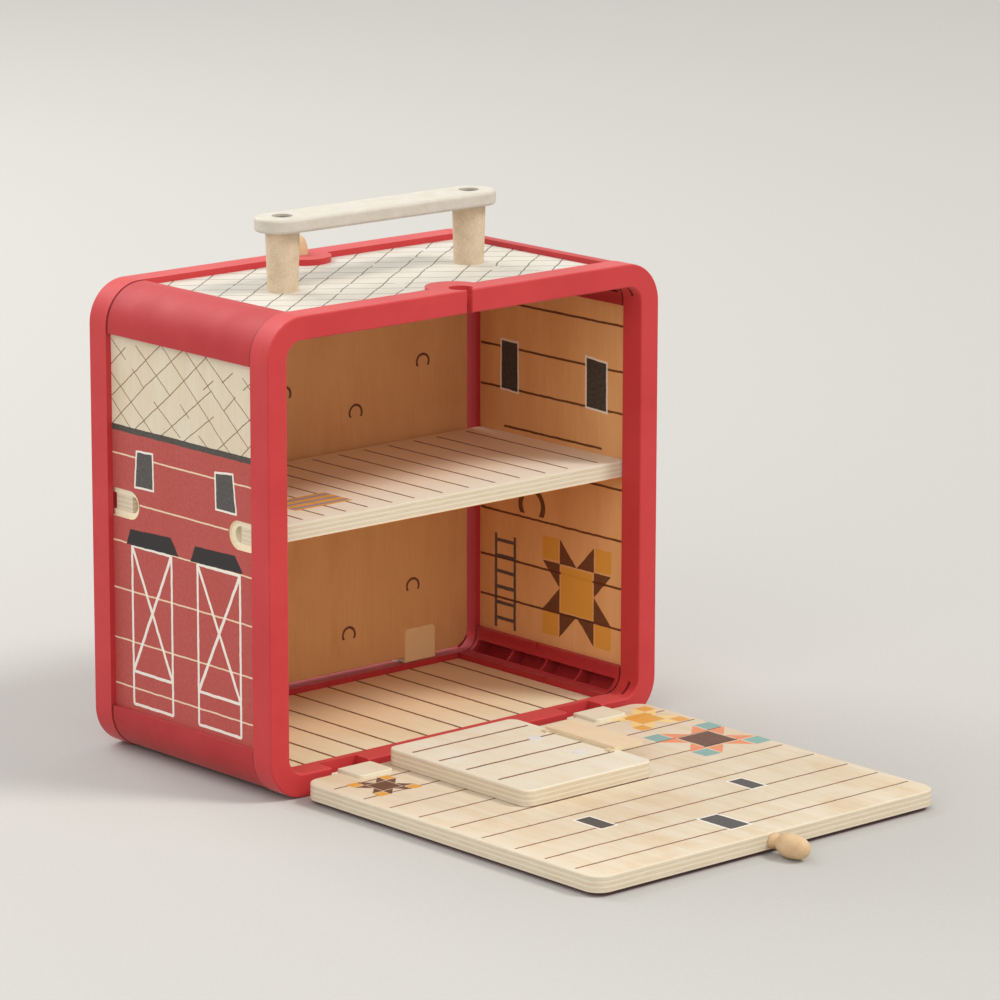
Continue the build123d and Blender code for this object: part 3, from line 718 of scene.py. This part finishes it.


# Painted shade: a top face turns toward the orange inside tone toward the back, standing in for the dimmer warm
# light deep in the rooms
def shadeTowardBack(tree, place, colour, most, top):
    back = rangeNode(tree, dotNode(tree, place, (0, 1, 0)), *flatBoards["paintedShadePlace"], 0.0, most)
    return mixColour(tree, mathNode(tree, "MULTIPLY", back, top), colour, ply["inside"][0])


def floorFinish():
    look = flatBoards
    made = levelFinish("floorPly", "floor_panel", ply["panelPlies"], "Y", "floor")
    finish, tree, shader, place, colour, (top, under) = made
    # painted shade deepening toward the back of the floor
    colour = shadeTowardBack(tree, place, colour, look["floorPaintedShade"], top)
    sheet = layFlat(tree, place, (1, 0, 0), (0, 1, 0))
    lines = [(x, -look["floorReach"], look["floorReach"]) for x in look["floorLines"]]
    planks = printPosts(tree, sheet, lines, look["floorLine"])
    tree.links.new(layInk(tree, place, colour, "plankTan", planks, top), shader.inputs["Base Color"])
    return finish


def roofFinish():
    look, half = roofPrint, roofPrint["half"]
    low, high = millimetres("roof_panel")
    made = levelFinish("roofPly", "roof_panel", ply["panelPlies"], "X", "roof")
    finish, tree, shader, place, colour, (top, under) = made
    # painted shade: the roof's underside takes the orange inside tones for the rooms' dim light
    colour = otherWood(tree, place, colour, (0, 0, -1), -(low.z + high.z) / 2, "X", "inside")
    sheet = layFlat(tree, place, (1, 0, 0), (0, 1, 0), *look["wobble"])
    bars = []
    for levels, rise in ((look["rising"], look["slope"] * half), (look["falling"], -look["slope"] * half)):
        bars += [printBar(tree, sheet, (-half, level - rise), (half, level + rise), look["lineWidth"])
                 for level in levels]
    gaps = stretchedNoise(tree, place, look["gapScale"], "specks")
    unbroken = mathNode(tree, "GREATER_THAN", gaps, look["gapBelow"])
    lattice = mathNode(tree, "MULTIPLY", joinMasks(tree, bars), unbroken)
    tree.links.new(layInk(tree, place, colour, "latticeGrey", lattice, top), shader.inputs["Base Color"])
    return finish


def shelfFinish():
    look = flatBoards
    low, high = millimetres("shelf")
    made = levelFinish("shelfPly", "shelf", ply["boardPlies"], "Y", "shelf")
    finish, tree, shader, place, colour, (top, under) = made
    # painted shade deepening toward the back of the shelf
    colour = shadeTowardBack(tree, place, colour, look["shelfPaintedShade"], top)
    # painted shade: the shelf's underside takes the orange inside tones for the rooms' dim light
    colour = otherWood(tree, place, colour, (0, 0, -1), -low.z - ply["faceBand"], "Y", "inside")
    sheet = layFlat(tree, place, (1, 0, 0), (0, 1, 0))
    lines = [(x, -look["shelfReach"], look["shelfReach"]) for x in look["shelfLines"]]
    planks = printPosts(tree, sheet, lines, look["shelfLine"])
    (x, y), (width, length) = look["matPlace"], look["matSize"]
    left, right = x - width / 2, x + width / 2
    mat = printBar(tree, sheet, (left, y), (right, y), length)
    levels = [(y + step, left, right) for step in look["matStripes"]]
    stripes = printPlanks(tree, sheet, levels, look["stripeWidth"])
    colour = layInk(tree, place, colour, "plankTan", planks, top)
    colour = layInk(tree, place, colour, "ochre", mat, top)
    tree.links.new(layInk(tree, place, colour, "skyBlue", stripes, top), shader.inputs["Base Color"])
    return finish


dress("floor_panel", floorFinish())
dress("roof_panel", roofFinish())
dress("shelf", shelfFinish())
print("floor, roof and shelf dressed")

# Doors and loose board
frontDoorPrint = {
    "figure": 1.5,  # how strongly the wood's figure shows
    "lineWidth": 1.3,
    "lineReach": 124.5,
    "lines": [-109.3, -134.6, -156.7, -180.8, -206.8, -232.0, -258.6, -282.0, -305.4],
    "windowBorder": 1.3,
    "windows": [[(-65.0, -261.0), (-54.6, -261.0), (-54.6, -240.4), (-65.0, -240.4)],
                [(-13.4, -307.2), (0.8, -307.2), (0.2, -282.4), (-13.4, -282.4)],
                [(49.2, -259.2), (59.4, -259.2), (59.2, -240.6), (49.4, -240.6)]],
    # middle, unit, and the inks of the middle square, the points and the corner squares
    "stars": [((101.0, -170.0), 13.0, ("umber", "coral", "teal")),
              ((-99.0, -122.0), 7.5, ("umber", "umber", "ochre")),
              ((104.0, -114.0), 9.5, ("ochre", "straw", "ochre"))],
}
rearDoorPrint = {
    "shoeRadius": 4.6,
    "shoeWidth": 1.5,
    "shoes": [(-78, 34), (-24, 62), (34, 38), (84, 60), (-96, 96), (-44, 118), (12, 104), (66, 124), (-70, 176),
              (-14, 190), (40, 172), (92, 196), (-98, 222), (-40, 236), (20, 226), (74, 238)],
}
looseBoardPrint = {
    "figure": 1.4,
    "lineWidth": 1.75,
    "lines": [-107.2, -129.8, -152.8, -179.3],
    "margins": (4.0, 4.5),  # left and right of the lines
}
# The outside of both doors, from its bottom edge up
barnFront = {
    "reach": 140.0,
    "lineWidth": 1.0,
    "planks": [(22.5, 0.4), (47.0, -0.6), (73.5, 0.5), (99.0, -0.4), (126.0, 0.6), (151.5, -0.5), (178.0, 0.4),
               (205.0, -0.6)],  # level and slant
    "doorTop": 101.5,
    "doorBottom": 11.0,
    "doorBar": 33.0,
    "doorLine": 1.9,
    "braceLine": 2.1,
    "doors": [(-48.0, -1.5), (1.5, 47.5)],
    "canopies": [[(-60.0, 103.0), (59.0, 103.6), (49.0, 116.0), (-50.0, 115.2)],
                 [(-26.0, 196.0), (25.0, 196.6), (19.0, 206.0), (-20.0, 205.4)]],
    "windowBorder": 1.4,
    "windows": [[(-99.0, 55.0), (-79.0, 54.4), (-80.0, 84.0), (-98.2, 83.4)],
                [(79.4, 54.8), (98.6, 55.2), (97.6, 83.2), (80.2, 84.2)],
                [(-17.0, 146.0), (16.0, 145.4), (16.4, 193.2), (-16.4, 193.8)],
                [(-84.0, 150.0), (-64.0, 150.4), (-65.0, 178.0), (-83.4, 177.2)],
                [(64.6, 150.4), (84.4, 149.8), (83.4, 177.6), (65.4, 178.2)]],
}


# Right and up lie in a door's face, and base is how far along up its bottom edge is
def printBarnFront(tree, place, colour, right, up, base, face):
    look, reach = barnFront, barnFront["reach"]
    sheet = vectorNode(tree, "SUBTRACT", layFlat(tree, place, right, up), (0, base, 0))
    planks = [printBar(tree, sheet, (-reach, level - slant), (reach, level + slant), look["lineWidth"])
              for level, slant in look["planks"]]
    colour = layInk(tree, place, colour, "barnRed", face, face, "field")
    colour = layInk(tree, place, colour, "cream", joinMasks(tree, planks), face)
    return layBarnDetails(tree, place, colour, sheet, look, face)


def frontDoorFinish():
    look, reach = frontDoorPrint, frontDoorPrint["lineReach"]
    low, high = millimetres("front_door")
    made = levelFinish("frontDoorPly", "front_door", ply["boardPlies"], "Y", "outside", look["figure"])
    finish, tree, shader, place, colour, (top, under) = made
    sheet = layFlat(tree, place, (1, 0, 0), (0, 1, 0))
    planks = printPlanks(tree, sheet, [(y, -reach, reach) for y in look["lines"]], look["lineWidth"])
    colour = layInk(tree, place, colour, "plankTan", planks, top)
    for middle, unit, colours in look["stars"]:
        for ink, mask in zip(colours, printQuiltStar(tree, sheet, middle, unit)):
            colour = layInk(tree, place, colour, ink, mask, top)
    panes, borders = printWindows(tree, sheet, look)
    colour = layInk(tree, place, colour, "white", borders, top, "field")
    colour = layInk(tree, place, colour, "charcoal", panes, top, "field")
    colour = printBarnFront(tree, place, colour, (1, 0, 0), (0, -1, 0), -high.y, under)
    tree.links.new(colour, shader.inputs["Base Color"])
    return finish


def rearDoorFinish():
    look = rearDoorPrint
    low, high = millimetres("rear_door")
    # painted shade: the rear door's wood takes the orange inside tones for the rooms' dim light
    made = plyFinish("rearDoorPly", (0, 1, 0), (low.y, high.y), ply["boardPlies"], "Z", "inside")
    finish, tree, shader, place, colour, (inner, outer) = made
    sheet = layFlat(tree, place, (1, 0, 0), (0, 0, 1))
    shoes = joinMasks(tree, [printHorseshoe(tree, sheet, middle, look["shoeRadius"], look["shoeWidth"])
                             for middle in look["shoes"]])
    colour = layInk(tree, place, colour, "umber", shoes, inner)
    colour = printBarnFront(tree, place, colour, (-1, 0, 0), (0, 0, 1), low.z, outer)
    tree.links.new(colour, shader.inputs["Base Color"])
    return finish


def looseBoardFinish():
    look, (left, right) = looseBoardPrint, looseBoardPrint["margins"]
    low, high = millimetres("loose_board")
    made = levelFinish("looseBoardPly", "loose_board", ply["boardPlies"], "Y", "board", look["figure"])
    finish, tree, shader, place, colour, (top, under) = made
    sheet = layFlat(tree, place, (1, 0, 0), (0, 1, 0))
    lines = [(y, low.x + left, high.x - right) for y in look["lines"]]
    planks = printPlanks(tree, sheet, lines, look["lineWidth"])
    tree.links.new(layInk(tree, place, colour, "plankTan", planks, top), shader.inputs["Base Color"])
    return finish


dress("front_door", frontDoorFinish())
dress("rear_door", rearDoorFinish())
dress("loose_board", looseBoardFinish())
print("doors and loose board dressed")

# Moulded, pressed and metal pieces, each with a pale and a dark tone
moulding = {
    "redRoughness": (0.56, 0.68),
    "ring": (linear(203, 58, 60), linear(188, 46, 50)),
    "ringBloom": 0.3,  # a faint pale sheen at grazing angles
    # painted shade: the corners are the rings' red moulding, darkened to hold down how much light they catch
    "corner": (linear(187, 47, 50), linear(170, 36, 41)),
    "cornerBloom": 0.18,
    "bloomTone": linear(255, 226, 220),
    "bloomSpread": 0.38,
    "gloss": 0.38,
    "seamShade": linear(92, 16, 21),  # painted shade: the corner mouldings' end faces darkened as the shadowed seams against the rings
    "seamShadeAt": 63.35,
    "redBump": (0.00005, 0.5),
    "creamRoughness": 0.5,
    "creamMottle": 2.4,
    "cream": (linear(231, 227, 208), linear(224, 214, 188)),
    # painted shade: the cream moulding's tone on the rooms' side, warmed for the dim bounce light inside
    "tan": (linear(252, 220, 166), linear(244, 204, 148)),
    "plug": (linear(236, 237, 238), linear(214, 214, 212)),
    "creamBump": (0.00003, 0.5),
}
composite = {
    "bar": (linear(207, 203, 192), linear(198, 191, 176)),
    "barSpecks": 0.3,
    "post": (linear(217, 198, 170), linear(204, 182, 150)),
    "postSpecks": 0.6,
    "knob": (linear(216, 186, 146), linear(204, 168, 124)),
    "knobSpecks": 0.22,
    "cloudScale": 0.12,
    "cloud": (0.3, 0.7),
    "darkTone": linear(160, 124, 88),
    "darkScale": 1.5,
    "dark": (0.58, 0.74),
    "brightTone": linear(240, 234, 222),
    "brightScale": 1.1,
    "brightShift": (31, 17, 5),  # keeps the bright specks away from the dark ones
    "bright": (0.58, 0.76),
    "roughness": (0.5, 0.66),
    "bump": (0.00005, 0.5),
}
zinc = {
    "tones": (linear(150, 144, 134), linear(112, 106, 98)),
    "scale": 3.0,
    "brushed": (0.3, 0.7),
    "roughness": (0.3, 0.46),
}


def redFinish(name, tones, bloom, seamShadeAt=None):
    finish, tree, shader, place = newFinish(name, moulding["redRoughness"][0])
    pale, dark = moulding[tones]
    surface = placeGroup(tree, mouldedSkin, Place=place, Pale=pale, Dark=dark)
    colour = surface["Color"]
    # painted shade in the seam where a corner meets a ring
    if seamShadeAt:
        reach = mathNode(tree, "ABSOLUTE", dotNode(tree, place, (0, 1, 0)))
        colour = mixColour(tree, mathNode(tree, "GREATER_THAN", reach, seamShadeAt), colour, moulding["seamShade"])
    rough = rangeNode(tree, surface["Cloud"], *skin["tone"], *moulding["redRoughness"])
    tree.links.new(colour, shader.inputs["Base Color"])
    tree.links.new(rough, shader.inputs["Roughness"])
    shader.inputs["Specular IOR Level"].default_value = moulding["gloss"]
    shader.inputs["Sheen Weight"].default_value = moulding[bloom]
    shader.inputs["Sheen Roughness"].default_value = moulding["bloomSpread"]
    shader.inputs["Sheen Tint"].default_value = moulding["bloomTone"]
    addBump(tree, shader, surface["Height"], *moulding["redBump"])
    return finish


def creamFinish(name, tones, shadeBefore=None):  # painted shade: tan on the rooms' side, before a place along Y, for the warm dim light inside
    finish, tree, shader, place = newFinish(name, moulding["creamRoughness"])
    mottle = moulding["creamMottle"]
    pale, dark = moulding[tones]
    surface = placeGroup(tree, mouldedSkin, Place=place, Pale=pale, Dark=dark, Mottle=mottle)
    colour = surface["Color"]
    if shadeBefore:
        pale, dark = moulding["tan"]
        shadeSkin = placeGroup(tree, mouldedSkin, Place=place, Pale=pale, Dark=dark, Mottle=mottle)
        room = mathNode(tree, "LESS_THAN", dotNode(tree, place, (0, 1, 0)), shadeBefore)
        colour = mixColour(tree, room, colour, shadeSkin["Color"])
    tree.links.new(colour, shader.inputs["Base Color"])
    addBump(tree, shader, surface["Height"], *moulding["creamBump"])
    return finish


def compositeFinish(name, tones, specks):
    look, most = composite, composite[specks]
    finish, tree, shader, place = newFinish(name, look["roughness"][0])
    cloud = noiseNode(tree, place, look["cloudScale"], "fibres")
    speck = noiseNode(tree, place, look["darkScale"], "flakes")
    shifted = vectorNode(tree, "ADD", place, look["brightShift"])
    bright = noiseNode(tree, shifted, look["brightScale"], "flakes")
    colour = mixColour(tree, rangeNode(tree, cloud, *look["cloud"]), *look[tones])
    colour = mixColour(tree, rangeNode(tree, speck, *look["dark"], 0.0, most), colour, look["darkTone"])
    colour = mixColour(tree, rangeNode(tree, bright, *look["bright"], 0.0, most), colour, look["brightTone"])
    tree.links.new(colour, shader.inputs["Base Color"])
    tree.links.new(rangeNode(tree, speck, *look["cloud"], *look["roughness"]), shader.inputs["Roughness"])
    addBump(tree, shader, speck, *look["bump"])
    return finish


def slatFinish():
    finish, tree, shader, place = newFinish("slatWood", ply["roughness"])
    wood = birchWood(tree, place, "Y", "slat")
    tree.links.new(wood["Color"], shader.inputs["Base Color"])
    addBump(tree, shader, wood["Height"], *ply["bump"])
    return finish


def zincFinish():
    finish, tree, shader, place = newFinish("zincSteel", zinc["roughness"][1])
    shader.inputs["Metallic"].default_value = 1.0
    brushed = noiseNode(tree, place, zinc["scale"], "brushed")
    rough = rangeNode(tree, brushed, *zinc["brushed"], *zinc["roughness"])
    tree.links.new(mixColour(tree, brushed, *zinc["tones"]), shader.inputs["Base Color"])
    tree.links.new(rough, shader.inputs["Roughness"])
    return finish


finishes = {
    "red_moulding": redFinish("redMoulding", "ring", "ringBloom"),
    "cream_moulding": creamFinish("creamMoulding", "cream"),
    "wood_composite": compositeFinish("postComposite", "post", "postSpecks"),
    "zinc_steel": zincFinish(),
}
for row in frame["record"]["subparts"]:
    if row["material_slot"] in finishes:
        dress(row["node"], finishes[row["material_slot"]])
# the corner mouldings take the darker red, a painted shade
cornerRedShaded = redFinish("cornerRedShaded", "corner", "cornerBloom", moulding["seamShadeAt"])
for height in ("top", "bottom"):
    for side in ("left", "right"):
        dress(f"{height}_{side}_corner", cornerRedShaded)
turnedKnob = compositeFinish("knobComposite", "knob", "knobSpecks")
# the rear hinge leaves get painted warm shade on their room side
shadedTanLeaf = creamFinish("leafMouldingShaded", "cream", millimetres("rear_door")[0].y)
for end in ("front", "rear"):
    dress(f"{end}_knob", turnedKnob)
for side in ("left", "right"):
    dress(f"rear_{side}_hinge", shadedTanLeaf)
dress("handle_bar", compositeFinish("barComposite", "bar", "barSpecks"))
dress("board_slat", slatFinish())
dress("board_plugs", creamFinish("plugWhite", "plug"))
print("mouldings, handle and knobs dressed")

# Ground
ground = {
    "size": 14.0,
    "tones": (linear(190, 189, 185), linear(181, 180, 176)),
    "napScale": 0.35,
    "roughness": 0.9,
    "gloss": 0.2,
}


def makeGround():
    bpy.ops.mesh.primitive_plane_add(size=ground["size"], location=(0, 0, 0))
    rug = bpy.context.object
    rug.name = "paleFloor"
    finish, tree, shader, place = newFinish("paleFloor", ground["roughness"])
    nap = noiseNode(tree, place, ground["napScale"], "fibres")
    tree.links.new(mixColour(tree, nap, *ground["tones"]), shader.inputs["Base Color"])
    shader.inputs["Specular IOR Level"].default_value = ground["gloss"]
    rug.data.materials.append(finish)


makeGround()
bpy.ops.object.select_all(action="DESELECT")
print("ground laid")
